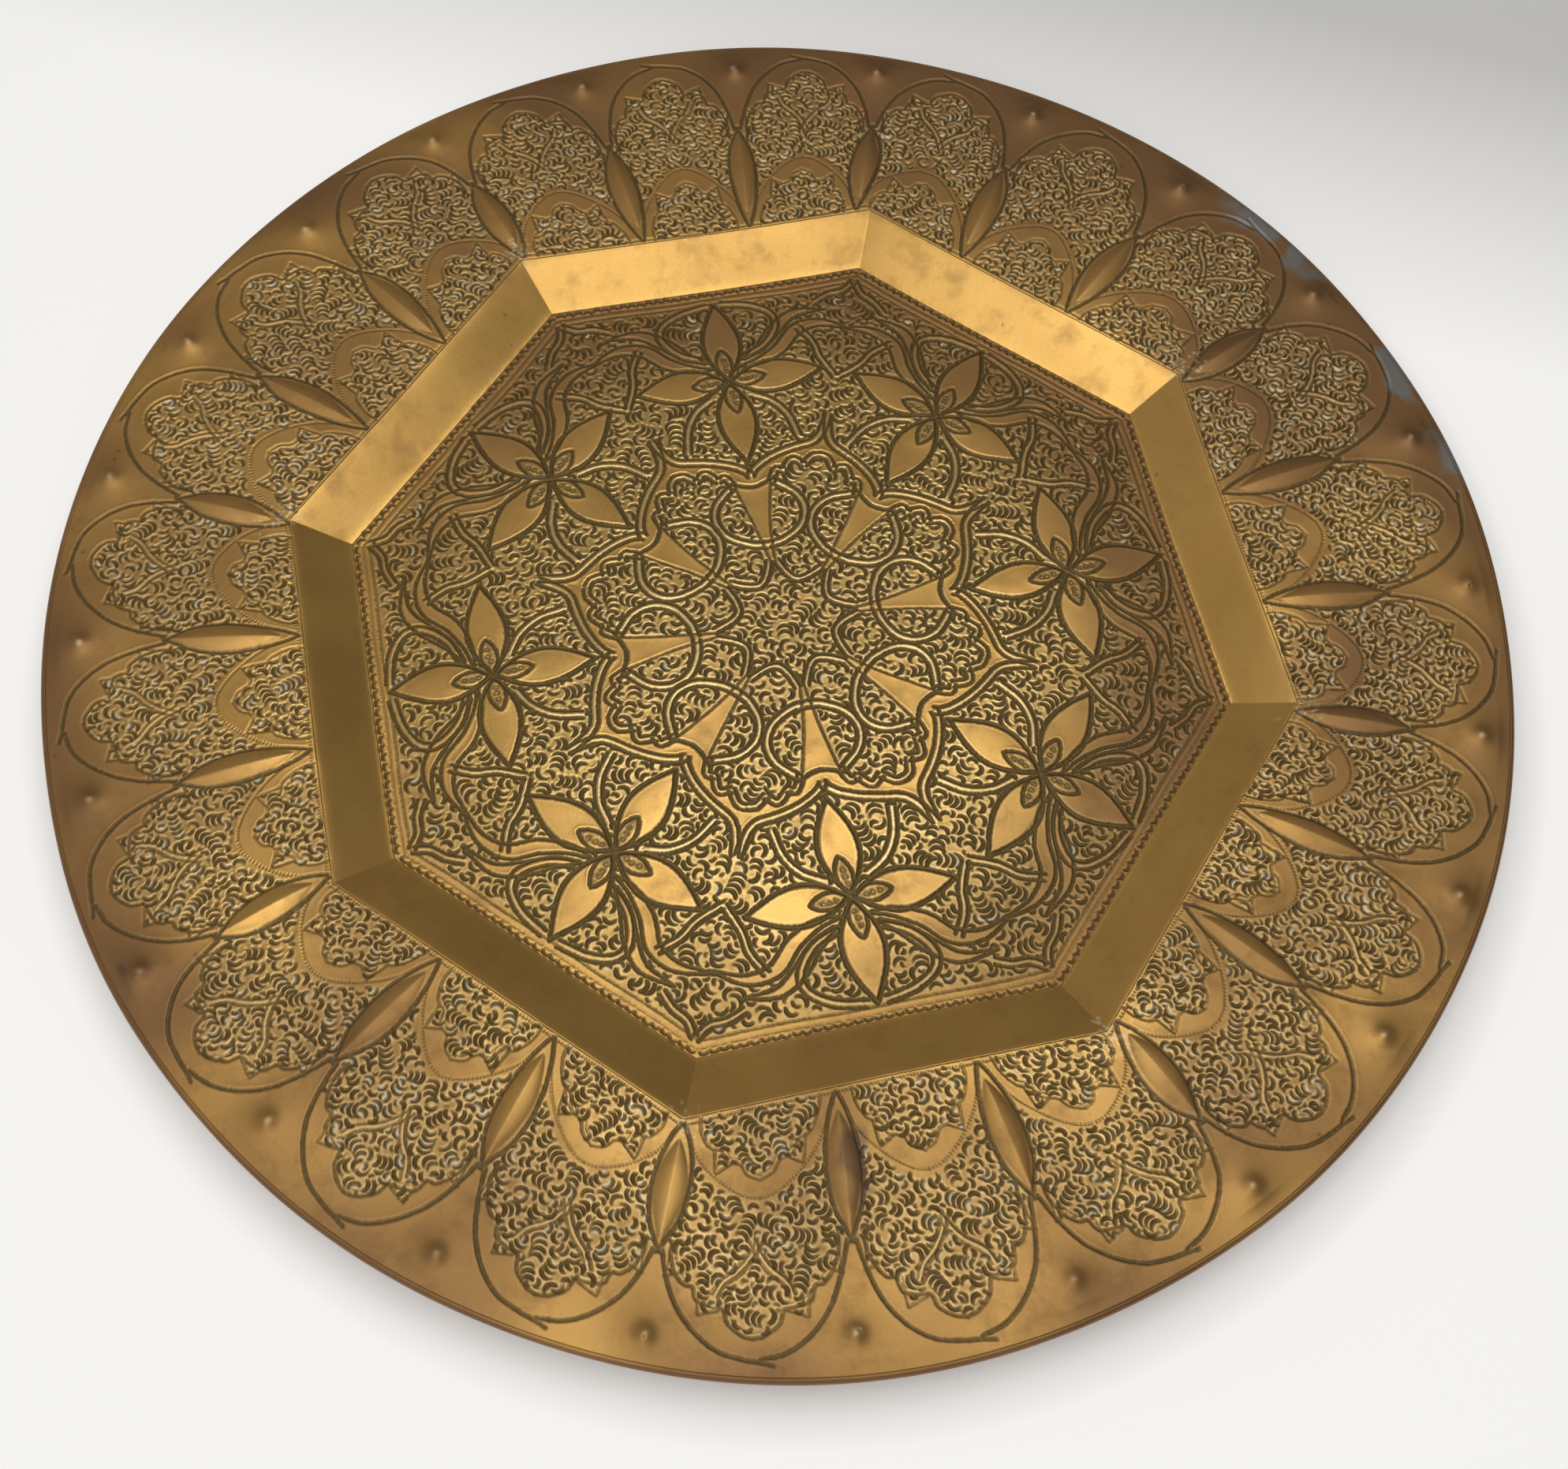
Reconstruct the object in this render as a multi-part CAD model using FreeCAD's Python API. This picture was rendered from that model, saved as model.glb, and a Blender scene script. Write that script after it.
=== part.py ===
import FreeCAD, Part
import math
import os

# A round metal tray with an octagonal well and a flared rim, rolled over a stiffening wire.
# Millimetres, +Z up, z = 0 on the underside of the well floor, origin at the tray's centre.
# The well's flat sides face +X, +Y, -X, -Y and the four diagonals between them.

# Driving dimensions
TRAY_RADIUS = 300.0          # to the outside of the rolled edge
SHEET = 1.0                  # thickness of the metal
WELL_SIDES = 8
FLOOR_CIRCUMRADIUS = 187.7   # top face of the well floor, centre to corner
LIP_CIRCUMRADIUS = 212.5     # top face of the lip of the well, centre to corner
WELL_DEPTH = 13.0            # well floor to lip, both top faces
RIM_RISE = 7.0               # lip to the top of the rolled edge
WIRE_RADIUS = 1.2
WIRE_CLEARANCE = 0.05        # between the wire and the sheet rolled round it
ROLL_TURN = 245.0            # degrees that the edge is rolled through, from the top of the rim

# Raised ornament on the rim
ORNAMENT_COUNT = 24
LEAF_TIP_RADIUS = 250.0      # outer tip of each raised leaf
LEAF_LIP_GAP = 2.0           # from the lip of the well to the leaf's inner tip
LEAF_HALF_WIDTH = 6.0
LEAF_HEIGHT = 3.2
BOSS_RING_RADIUS = 285.3
BOSS_RADIUS = 4.5
BOSS_HEIGHT = 2.0

HALF_SIDE = math.pi / WELL_SIDES
FLOOR_APOTHEM = FLOOR_CIRCUMRADIUS * math.cos(HALF_SIDE)
LIP_APOTHEM = LIP_CIRCUMRADIUS * math.cos(HALF_SIDE)
LIP_Z = SHEET + WELL_DEPTH
RIM_Z = LIP_Z + RIM_RISE
WALL_RUN = (LIP_APOTHEM - FLOOR_APOTHEM) / WELL_DEPTH    # outward travel per unit of height
WALL_SLOPE = math.atan2(1.0, WALL_RUN)
BORE_RADIUS = WIRE_RADIUS + WIRE_CLEARANCE
ROLL_RADIUS = BORE_RADIUS + SHEET
ROLL_CENTRE_R = TRAY_RADIUS - ROLL_RADIUS
ROLL_CENTRE_Z = RIM_Z - ROLL_RADIUS
FLARE = math.atan2(RIM_RISE, ROLL_CENTRE_R - LIP_APOTHEM)
FLANGE_END_R = ROLL_CENTRE_R - ROLL_RADIUS * math.sin(FLARE)
FLANGE_END_Z = ROLL_CENTRE_Z + ROLL_RADIUS * math.cos(FLARE)
FLANGE_DROP = SHEET / math.cos(FLARE)                    # the sheet's thickness measured vertically
AXIS = FreeCAD.Vector(0, 0, 1)
CENTRE = FreeCAD.Vector(0, 0, 0)


def point(r, z):
    """A point of a half-section, at radius r and height z."""
    return FreeCAD.Vector(r, 0, z)


def revolved(outline, axis=AXIS):
    """A full turn of a closed outline about an axis through the origin."""
    return Part.Face(outline).revolve(CENTRE, axis, 360)


def octagon(apothem, z):
    """The closed outline of the well at one height, with a flat side towards +X."""
    corner_radius = apothem / math.cos(HALF_SIDE)
    corners = []
    for k in range(WELL_SIDES + 1):
        angle = (2 * k + 1) * HALF_SIDE
        corners.append(FreeCAD.Vector(corner_radius * math.cos(angle), corner_radius * math.sin(angle), z))
    return Part.makePolygon(corners)


def circle_of_arcs(radius, z):
    """A circle cut into one arc for each side of the well."""
    arcs = []
    for k in range(WELL_SIDES):
        start, middle, end = [(2 * k + step) * HALF_SIDE for step in (1, 2, 3)]
        ends = [FreeCAD.Vector(radius * math.cos(a), radius * math.sin(a), z) for a in (start, middle, end)]
        arcs.append(Part.Arc(*ends).toShape())
    return Part.Wire(arcs)


def well_pyramid(offset):
    """The space inside the sloping walls pushed outward by offset, from the table to the rim."""
    grow = offset / math.sin(WALL_SLOPE)
    low = FLOOR_APOTHEM - SHEET * WALL_RUN + grow
    high = FLOOR_APOTHEM + (RIM_Z - SHEET) * WALL_RUN + grow
    return Part.makeLoft([octagon(low, 0.0), octagon(high, RIM_Z)], True, True)


def lip_mitre():
    """The space inside the eight planes that halve the bend between the wall and the flange."""
    bend = WALL_SLOPE - FLARE
    out = (math.sin(WALL_SLOPE) + math.sin(FLARE)) / (1 + math.cos(bend))
    down = (math.cos(WALL_SLOPE) + math.cos(FLARE)) / (1 + math.cos(bend))
    low = LIP_APOTHEM + LIP_Z * out / down
    high = LIP_APOTHEM - RIM_RISE * out / down
    return Part.makeLoft([octagon(low, 0.0), octagon(high, RIM_Z)], True, True)


def flange_sheet():
    """The plain flange: a sheet ruled from the octagonal lip out to the round edge."""
    lip = octagon(LIP_APOTHEM, LIP_Z)
    edge = circle_of_arcs(FLANGE_END_R, FLANGE_END_Z)
    top = Part.makeLoft([lip, edge], False, True)
    under = top.copy()
    under.translate(FreeCAD.Vector(0, 0, -FLANGE_DROP))
    inner_band = Part.makeLoft([lip, octagon(LIP_APOTHEM, LIP_Z - FLANGE_DROP)], False, True)
    outer_band = Part.makeLoft([edge, circle_of_arcs(FLANGE_END_R, FLANGE_END_Z - FLANGE_DROP)], False, True)
    shell = Part.Shell(top.Faces + under.Faces + inner_band.Faces + outer_band.Faces)
    shell.sewShape()
    return Part.makeSolid(shell)


def lip_radius(angle):
    """Distance from the centre to the lip of the well at an angle in degrees."""
    side = math.degrees(2 * HALF_SIDE)
    within_side = (angle + side / 2) % side - side / 2
    return LIP_APOTHEM / math.cos(math.radians(within_side))


def placed_on_flange(shape, radius, angle):
    """The shape with its XY plane laid on the flange's top face at a radius and an angle."""
    slope = math.atan2(RIM_RISE, FLANGE_END_R - lip_radius(angle))
    height = FLANGE_END_Z - (FLANGE_END_R - radius) * math.tan(slope)
    placed = shape.copy()
    placed.rotate(CENTRE, FreeCAD.Vector(0, 1, 0), -math.degrees(slope))
    placed.translate(FreeCAD.Vector(radius, 0, height))
    placed.rotate(CENTRE, AXIS, angle)
    return placed


def above(shape, depth):
    """The part of the shape that lies above a plane at z = -depth."""
    size = 4 * LEAF_TIP_RADIUS
    corner = FreeCAD.Vector(-size / 2, -size / 2, -depth)
    return shape.common(Part.makeBox(size, size, size, corner))


def leaf(angle, wall, depth):
    """One raised leaf, an arc turned about an axis below the flange; wall shrinks it all round."""
    body_radius = (LEAF_HALF_WIDTH ** 2 + LEAF_HEIGHT ** 2) / (2 * LEAF_HEIGHT)
    sunk = body_radius - LEAF_HEIGHT
    start = lip_radius(angle) + LEAF_LIP_GAP
    length = LEAF_TIP_RADIUS - start
    tip_radius = sunk - wall
    crest = Part.Arc(point(0, tip_radius), point(length / 2, body_radius - wall), point(length, tip_radius))
    sides = Part.makePolygon([point(length, tip_radius), point(length, 0), CENTRE, point(0, tip_radius)])
    body = revolved(Part.Wire([crest.toShape()] + sides.Edges), FreeCAD.Vector(1, 0, 0))
    body.translate(FreeCAD.Vector(0, 0, -sunk))
    return placed_on_flange(above(body, depth), start, angle)


def boss(angle, wall, depth):
    """One knocked-up boss, a cap of a sphere; wall shrinks it for the hollow underneath."""
    sphere_radius = (BOSS_RADIUS ** 2 + BOSS_HEIGHT ** 2) / (2 * BOSS_HEIGHT)
    sphere = Part.makeSphere(sphere_radius - wall, FreeCAD.Vector(0, 0, BOSS_HEIGHT - sphere_radius))
    return placed_on_flange(above(sphere, depth), BOSS_RING_RADIUS, angle)


def ornament(wall, depth):
    """All leaves and bosses: a leaf at each corner of the well and two more along each side."""
    step = 360.0 / ORNAMENT_COUNT
    angles = [(k + 0.5) * step for k in range(ORNAMENT_COUNT)]
    leaves = [leaf(angle, wall, depth) for angle in angles]
    return leaves + [boss(angle, wall, depth) for angle in angles]


def well_floor():
    slab = Part.makeBox(2 * TRAY_RADIUS, 2 * TRAY_RADIUS, SHEET, FreeCAD.Vector(-TRAY_RADIUS, -TRAY_RADIUS, 0))
    return well_pyramid(0.0).common(slab)


def well_wall():
    return well_pyramid(SHEET).cut(well_pyramid(0.0)).common(lip_mitre())


def rim_flange():
    raised = flange_sheet().fuse(ornament(wall=0.0, depth=SHEET / 2))
    return raised.cut(ornament(wall=SHEET, depth=2 * SHEET)).cut(lip_mitre())


def roll_point(radius, turned):
    """A point of the roll's section, turned in degrees from where the flange meets it."""
    angle = math.radians(90.0 - turned) + FLARE
    return point(ROLL_CENTRE_R + radius * math.cos(angle), ROLL_CENTRE_Z + radius * math.sin(angle))


def rolled_edge():
    outside = [roll_point(ROLL_RADIUS, turned) for turned in (0, ROLL_TURN / 2, ROLL_TURN)]
    inside = [roll_point(BORE_RADIUS, turned) for turned in (ROLL_TURN, ROLL_TURN / 2, 0)]
    joint = Part.makeLine(inside[-1], outside[0])
    raw_edge = Part.makeLine(outside[-1], inside[0])
    return revolved(Part.Wire([joint, Part.Arc(*outside).toShape(), raw_edge, Part.Arc(*inside).toShape()]))


def edge_wire():
    return Part.makeTorus(ROLL_CENTRE_R, WIRE_RADIUS, FreeCAD.Vector(0, 0, ROLL_CENTRE_Z), AXIS)


def save(name, shape):
    """Writes one node's solid and says how big it is."""
    solid = shape.Solids[0]
    solid.exportStep(os.path.join("parts", name + ".step"))
    print(name, "solids", len(shape.Solids), "faces", len(solid.Faces), "valid", solid.isValid(),
          "volume mm3", round(solid.Volume))


os.makedirs("parts", exist_ok=True)
save("well_floor", well_floor())
save("well_wall", well_wall())
save("rim_flange", rim_flange())
save("rolled_edge", rolled_edge())
save("edge_wire", edge_wire())
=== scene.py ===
import bpy
import math
import numpy as np
from mathutils import Matrix, Vector


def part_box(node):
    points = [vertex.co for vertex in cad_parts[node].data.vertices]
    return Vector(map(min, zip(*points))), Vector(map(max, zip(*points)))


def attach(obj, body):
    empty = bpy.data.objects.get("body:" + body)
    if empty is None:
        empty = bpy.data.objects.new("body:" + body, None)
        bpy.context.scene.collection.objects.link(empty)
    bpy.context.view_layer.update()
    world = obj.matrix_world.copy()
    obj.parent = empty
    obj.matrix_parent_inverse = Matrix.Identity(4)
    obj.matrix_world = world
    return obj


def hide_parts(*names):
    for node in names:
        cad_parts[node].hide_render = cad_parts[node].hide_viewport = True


# A chased copper-alloy tray. The shapes are worked out in millimetres in the CAD frame, and written in
# metres. The ornament is made the way a chaser makes it: small punch blows along drawn lines. The blows
# land in height maps over the plan of the tray, which the sheet's meshes follow on both faces.

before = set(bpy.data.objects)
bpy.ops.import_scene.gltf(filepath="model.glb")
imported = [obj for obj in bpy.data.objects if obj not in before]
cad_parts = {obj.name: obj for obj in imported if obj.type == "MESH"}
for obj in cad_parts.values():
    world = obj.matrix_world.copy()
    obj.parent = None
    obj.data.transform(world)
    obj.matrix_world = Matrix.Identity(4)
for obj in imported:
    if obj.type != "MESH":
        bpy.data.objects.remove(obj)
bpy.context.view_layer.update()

MM = 1000.0
SEED = 24

# ---- sizes, in millimetres, from the frame
TRAY_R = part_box("rolled_edge")[1].x * MM
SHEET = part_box("well_floor")[1].z * MM
FLOOR_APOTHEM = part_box("well_floor")[1].x * MM
LIP_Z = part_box("well_wall")[1].z * MM
RIM_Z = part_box("rolled_edge")[1].z * MM
ROLL_RADIUS = (RIM_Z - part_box("rolled_edge")[0].z * MM) / 2
FLANGE_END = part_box("rim_flange")[1].x * MM
WIRE_RADIUS = (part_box("edge_wire")[1].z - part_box("edge_wire")[0].z) * MM / 2
ROLL_CENTRE_R = TRAY_R - ROLL_RADIUS
ROLL_CENTRE_Z = RIM_Z - ROLL_RADIUS

SIDES = 8
HALF_SIDE = math.pi / SIDES
LIP_APOTHEM = 0.6544 * TRAY_R    # the lip of the well, at the middle of a side
WALL_SLOPE = (LIP_Z - SHEET) / (LIP_APOTHEM - FLOOR_APOTHEM)
BEND = 0.8                    # softness of the creases
EASE = 1.0                    # over this far the flange levels out before the roll
ROLL_TURN = math.radians(245)
WORK_LIFT = 0.63              # the floor stands this far up, on the backs of its chased lines

# ---- where the tray is seen from
SIGHT_TURN = math.radians(16.955)
SIGHT_ELEVATION = math.radians(67.10)
SIGHT_ROLL = math.radians(5.289)
SIGHT_DISTANCE = 2.3104       # in tray radii, from the middle of the well's mouth
SIGHT_ASIDE = (0.0046, 0.1732)   # how far right and up of that middle it looks, in tray radii
LENS = 38.35
SENSOR = 36

# ---- height maps over the plan of the tray
CELLS = 2048
CELL = 2.02 * TRAY_R / CELLS
ORIGIN = -CELL * (CELLS - 1) / 2
rng = np.random.default_rng(SEED)


def unit(values):
    """Values kept between 0 and 1."""
    return np.clip(values, 0, 1)


def new_layer():
    """A height map with nothing in it."""
    return np.zeros((CELLS, CELLS), np.float32)


def blur(layer, reach):
    """The layer smoothed by a Gaussian of that reach in millimetres."""
    f_row = np.fft.fftfreq(CELLS, CELL)[:, None]
    f_col = np.fft.rfftfreq(CELLS, CELL)[None, :]
    falloff = np.exp(-2 * (math.pi * reach) ** 2 * (f_row ** 2 + f_col ** 2))
    return np.fft.irfft2(np.fft.rfft2(layer) * falloff, s=layer.shape).astype(np.float32)


def unevenness(reach):
    """A smooth random layer with blotches of that size, about -1 to 1."""
    noise = blur(rng.standard_normal((CELLS, CELLS)), reach)
    return noise / (2 * noise.std())


def read(layer, xy):
    """The layer's values at points, in straight lines between its cells."""
    spot = np.clip((xy - ORIGIN) / CELL, 0, CELLS - 1.001)
    col = spot[:, 0].astype(int)
    row = spot[:, 1].astype(int)
    u = spot[:, 0] - col
    v = spot[:, 1] - row
    low = layer[row, col] * (1 - u) + layer[row, col + 1] * u
    high = layer[row + 1, col] * (1 - u) + layer[row + 1, col + 1] * u
    return low * (1 - v) + high * v


def window(centre, reach):
    """The slices of the layers near a point, and the plan coordinates there, from the point."""
    low = np.floor((np.asarray(centre) - reach - ORIGIN) / CELL).astype(int).clip(0, CELLS - 1)
    high = np.ceil((np.asarray(centre) + reach - ORIGIN) / CELL).astype(int).clip(1, CELLS)
    x = ORIGIN + CELL * np.arange(low[0], high[0]) - centre[0]
    y = ORIGIN + CELL * np.arange(low[1], high[1]) - centre[1]
    return (slice(low[1], high[1]), slice(low[0], high[0])), x[None, :], y[:, None]


def fill(layer, outline, value):
    """Sets the layer to a value inside a closed outline."""
    middle = (outline.min(0) + outline.max(0)) / 2
    reach = (outline.max(0) - outline.min(0)).max() / 2 + CELL
    area, x, y = window(middle, reach)
    corners = outline - middle
    inside = np.zeros((y.size, x.size), bool)
    for (xa, ya), (xb, yb) in zip(corners, np.roll(corners, -1, 0)):
        if ya != yb:
            inside ^= ((y < ya) != (y < yb)) & (x < xa + (y - ya) * (xb - xa) / (yb - ya))
    layer[area][inside] = value


BATCH = 30000                 # blows pressed at a time


def strike(layer, points, radius, depth):
    """Presses a round-bottomed dent at each point; overlapping dents keep the deepest."""
    points = np.asarray(points).reshape(-1, 2)
    radius = np.broadcast_to(radius, len(points))
    depth = np.broadcast_to(depth, len(points))
    reach = int(math.ceil(radius.max() / CELL)) if len(points) else 0
    step = np.arange(-reach, reach + 1)
    flat = layer.reshape(-1)
    for start in range(0, len(points), BATCH):
        batch = slice(start, start + BATCH)
        spot = (points[batch] - ORIGIN) / CELL
        near = np.rint(spot).astype(int)
        col = near[:, 0, None, None] + step[None, None, :]
        row = near[:, 1, None, None] + step[None, :, None]
        away = ((col - spot[:, 0, None, None]) ** 2 + (row - spot[:, 1, None, None]) ** 2) * CELL ** 2
        dent = depth[batch, None, None] * (1 - away / radius[batch, None, None] ** 2)
        hit = dent > 0
        cells = (row * CELLS + col)[hit]
        np.maximum.at(flat, cells, dent[hit].astype(np.float32))


# ---- drawing
BLOW = 0.45                   # spacing of the tracer's blows along a line


def curve(points, spacing=BLOW):
    """A smooth line through a few points, as closely spaced points."""
    p = np.asarray(points, float)
    p = np.vstack([2 * p[0] - p[1], p, 2 * p[-1] - p[-2]])
    parts = []
    for a, b, c, d in zip(p, p[1:], p[2:], p[3:]):
        count = max(2, int(np.linalg.norm(c - b) / spacing))
        t = (np.arange(count) / count)[:, None]
        bend = 2 * a - 5 * b + 4 * c - d
        twist = 3 * (b - c) + d - a
        parts.append(b + 0.5 * t * (c - a + t * (bend + t * twist)))
    parts.append(p[-2:-1])
    return np.vstack(parts)


def turned(points, angle):
    """Points turned about the tray's centre."""
    c, s = math.cos(angle), math.sin(angle)
    p = np.asarray(points, float)
    return np.stack([p[..., 0] * c - p[..., 1] * s, p[..., 0] * s + p[..., 1] * c], -1)


def mirrored(points):
    """Points mirrored in the x axis, which is the axis of a sector before it is turned."""
    return np.asarray(points, float) * (1, -1)


def closed(points):
    """A half outline joined to its mirror image."""
    return np.vstack([points, mirrored(points)[::-1]])


def beside(line, offset):
    """The line moved sideways."""
    along = np.gradient(line, axis=0)
    along /= np.linalg.norm(along, axis=1, keepdims=True) + 1e-9
    return line + offset * np.stack([-along[:, 1], along[:, 0]], 1)


def leaf_sides(spine, half_width, fullness=1.0):
    """The two sides of a leaf that follows a spine, blunter as its fullness goes down from 1."""
    t = np.linspace(0, 1, len(spine))
    swell = unit(np.sin(math.pi * t ** 0.9))[:, None] ** fullness
    side = beside(spine, 1.0) - spine
    return spine + side * swell * half_width, spine - side * swell * half_width


def outline_of(spine, half_width):
    """The closed outline of a leaf."""
    left, right = leaf_sides(spine, half_width)
    return np.vstack([left, right[::-1]])


def hand_drift(points):
    """The unevenness of work laid out by eye: a slow drift of a few tenths of a millimetre."""
    x, y = points[:, 0], points[:, 1]
    drift_x = np.sin(x / 23.0 + 1.3) * np.cos(y / 31.0) + 0.6 * np.sin(y / 11.0 + x / 17.0)
    drift_y = np.cos(x / 29.0) * np.sin(y / 19.0 + 0.7) + 0.6 * np.sin(x / 9.0 - y / 14.0)
    return points + 0.45 * np.stack([drift_x, drift_y], 1)


# Chased lines, as half the width and the depth in millimetres
LINE = (0.95, 0.70)
SECOND_LINE = (LINE[0] * 0.85, LINE[1])
FLOWER_LINE = (1.2, 0.75)
INNER_LINE = (1.0, 0.65)
RAY_LINE = (0.7, 0.45)
RAY_BAR = (1.1, 0.7)
FILLET_LINE = (0.6, 0.45)
FOLD_LINE = (0.6, 0.3)
PETAL_LINE = (0.88, 0.55)
PETAL_OXIDE = (0.95, 1.0)
CORE_LINE = (0.8, 0.5)
CORE_SHADOW = (0.5, 0.25)
SMALL_CORE_LINE = (0.6, 0.42)
SMALL_CORE_SHADOW = (0.5, 0.3)
THORN_LINE = (0.6, 0.45)
STEM_LINE = (0.7, 0.5)
STEM_SHADOW = (0.6, 0.4)
PAIR_GAP = 3.3                # between the two grooves of a double line
CARTOUCHE_GAP = 2.9
SCALLOP_GAP = 2.8
FORK_GAP = 3.0


def chase(layer, line, stroke=LINE):
    """One chased groove, blow by blow."""
    width, depth = stroke
    line = hand_drift(line)
    shake = rng.normal(0, 0.07, line.shape)
    force = depth * rng.uniform(0.8, 1.1, len(line))
    strike(layer, line + shake, width * rng.uniform(0.9, 1.08, len(line)), force)


def chase_pair(work, line, gap=PAIR_GAP):
    """Two grooves with a bright ridge left standing between them."""
    chase(work["cuts"], beside(line, gap / 2))
    chase(work["cuts"], beside(line, -gap / 2), SECOND_LINE)
    strike(work["ridges"], hand_drift(line), gap * 0.36, 1.0)


# ---- the ornament of the well floor, in tray radii
FLOWER_R = 0.412
PETAL_REACH = (0.004, 0.0715, 0.143)    # root, middle and tip, from the flower's middle
PETAL_HALF_WIDTH = 0.0275
INNER_REACH = (0.006, 0.031, 0.056)
INNER_HALF_WIDTH = 0.0118
INNER_TURN = 0.06
RAY = (0.086, 0.231, 0.0250)            # apex, base, half width at the base
BORDER_APOTHEM = 0.5565
BORDER_WIDTH = 0.0095
SPRIG_LONG = [(0.436, 0.018), (0.441, 0.050), (0.459, 0.086), (0.489, 0.118), (0.494, 0.158),
              (0.473, 0.204)]
SPRIG_SHORT = [(0.448, 0.026), (0.468, 0.058), (0.498, 0.088), (0.519, 0.122), (0.517, 0.170)]
SPRIGS = ((SPRIG_LONG, 0.0105), (SPRIG_SHORT, 0.0095))    # line, half width
BELL = [(0.300, 0.084), (0.338, 0.077), (0.367, 0.058), (0.385, 0.030)]
ROUND_LOOP = [(0.452, 0.028), (0.468, 0.062), (0.500, 0.087), (0.526, 0.084), (0.545, 0.054),
              (0.553, 0.012)]
RAY_LOOP = [(0.232, 0.030), (0.205, 0.058), (0.175, 0.065), (0.148, 0.052), (0.131, 0.024),
            (0.127, 0.002)]
SECTOR_FORK = [(0.424, 0.002), (0.452, 0.030), (0.478, 0.046), (0.500, 0.072)]
SCALLOP = [(0.100, 3.0), (0.078, 11.0), (0.069, 22.5), (0.078, 34.0), (0.100, 42.0)]   # in degrees
CORNER_OGIVE = [(0.553, 0.054), (0.570, 0.036), (0.581, 0.015), (0.600, 0.001)]


def polar(radius, degrees):
    """A point at a radius and an angle in degrees."""
    return (radius * math.cos(math.radians(degrees)), radius * math.sin(math.radians(degrees)))


def strap_outside():
    """The strap's outer edge from a dip over a flower to a point between two flowers, as an ogee."""
    points = []
    for u in np.linspace(0, 1, 22):
        rise = 0.0625 * u ** 0.7 + 0.047 * u ** 20
        points.append(polar(0.246 + rise, 22.5 * u))
    return points


def lobe(start, crest_highlight, end):
    """One rounded lobe through three polar points."""
    return curve([polar(*start), polar(*crest_highlight), polar(*end)], 0.004)


def cartouche_outside():
    """The lobed outer edge of half a cartouche, from beside a ray to the middle between two rays."""
    small = lobe((0.232, 6.8), (0.252, 8.6), (0.251, 11.0))
    middle = lobe((0.251, 11.0), (0.270, 14.0), (0.263, 17.6))
    large = lobe((0.263, 17.6), (0.280, 20.2), (0.283, 22.5))
    return [small, middle, large]


def flower_spines(reach, turn=0.0):
    """Four straight lines out from a flower's middle, through points at those distances from it."""
    along = [(distance, 0) for distance in reach]
    return [turned(along, quarter * math.pi / 2 + turn) + (FLOWER_R, 0) for quarter in range(4)]


def both_ways(points):
    """A line and its mirror image across the sector's axis."""
    return [np.asarray(points, float), mirrored(points)]


def sector(angle, turn, grow):
    """The way to put a sector's points, in tray radii, on the tray in millimetres, a touch off true."""
    def at(points):
        return turned(np.asarray(points, float) * TRAY_R * grow, angle + turn)
    return at


def chase_flower(work, at):
    """Four pointed petals left smooth, outlined, each with a small beaded leaf at its root."""
    cuts, plain, domes = work["cuts"], work["plain"], work["domes"]
    for spine in flower_spines(PETAL_REACH):
        line = curve(at(spine))
        fill(plain, outline_of(line, PETAL_HALF_WIDTH * TRAY_R)[::3], 1)
        fill(domes, outline_of(line, PETAL_HALF_WIDTH * TRAY_R * 0.9)[::3], 1)
        for side in leaf_sides(line, PETAL_HALF_WIDTH * TRAY_R + 0.3):
            chase(cuts, side, FLOWER_LINE)
    for spine in flower_spines(INNER_REACH, INNER_TURN):
        line = curve(at(spine))
        strike(work["oxide"], line[6:-4], INNER_HALF_WIDTH * TRAY_R * 0.7, 0.7)
        for side in leaf_sides(line, INNER_HALF_WIDTH * TRAY_R, 0.7):
            chase(cuts, side, INNER_LINE)
        rings(cuts, line[9:-8:6])


def rings(cuts, centres):
    """Small circles from a ring punch."""
    around = np.arange(12) * math.pi / 6
    circle = 0.85 * np.stack([np.cos(around), np.sin(around)], 1)
    astray = rng.normal(0, 0.25, (len(centres), 1, 2))
    strike(cuts, centres[:, None, :] + circle + astray, 0.5, 0.4)


def chase_sprigs(work, at):
    """Two forked, curling leaves that leave each flower sideways and outward."""
    for points, width in SPRIGS:
        for half in both_ways(points):
            line = curve(at(half))
            fill(work["plain"], outline_of(line, width * TRAY_R)[::3], 1)
            for side in leaf_sides(line, width * TRAY_R):
                chase(work["cuts"], side)


def ray_outline():
    """A long triangle with slightly hollow sides and base."""
    apex, base, half = RAY
    return [(apex, 0.0), ((apex + base) / 2, half * 0.42), (base, half), (base - 0.008, 0.0),
            (base, -half), ((apex + base) / 2, -half * 0.42)]


def chase_ray(work, at):
    """A smooth wedge that points at the centre, under a bold curved bar."""
    apex, base, half = RAY
    fill(work["plain"], at(ray_outline()), 1)
    side = [(apex - 0.004, 0.001), ((apex + base) / 2, half * 0.45), (base, half * 1.05)]
    for line in both_ways(side):
        chase(work["cuts"], curve(at(line)), RAY_LINE)
    bar = [(base + 0.006, -half * 1.35), (base - 0.005, 0.0), (base + 0.006, half * 1.35)]
    chase(work["cuts"], curve(at(bar)), RAY_BAR)


def strap_outline():
    """The smooth strap of one sector, between the cartouches and the ogee."""
    outer = np.asarray(strap_outside())
    inner = np.vstack(cartouche_outside())
    half = np.vstack([outer, inner[::-1], [(0.232, 0.0)]])
    return closed(half)


def chase_strap(work, at):
    """The strap of one sector, left smooth between double lines."""
    fill(work["plain"], at(strap_outline()), 1)
    for half in both_ways(strap_outside()):
        chase_pair(work, curve(at(half)))
    for part in cartouche_outside():
        for half in both_ways(part):
            chase_pair(work, curve(at(half)), CARTOUCHE_GAP)


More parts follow.
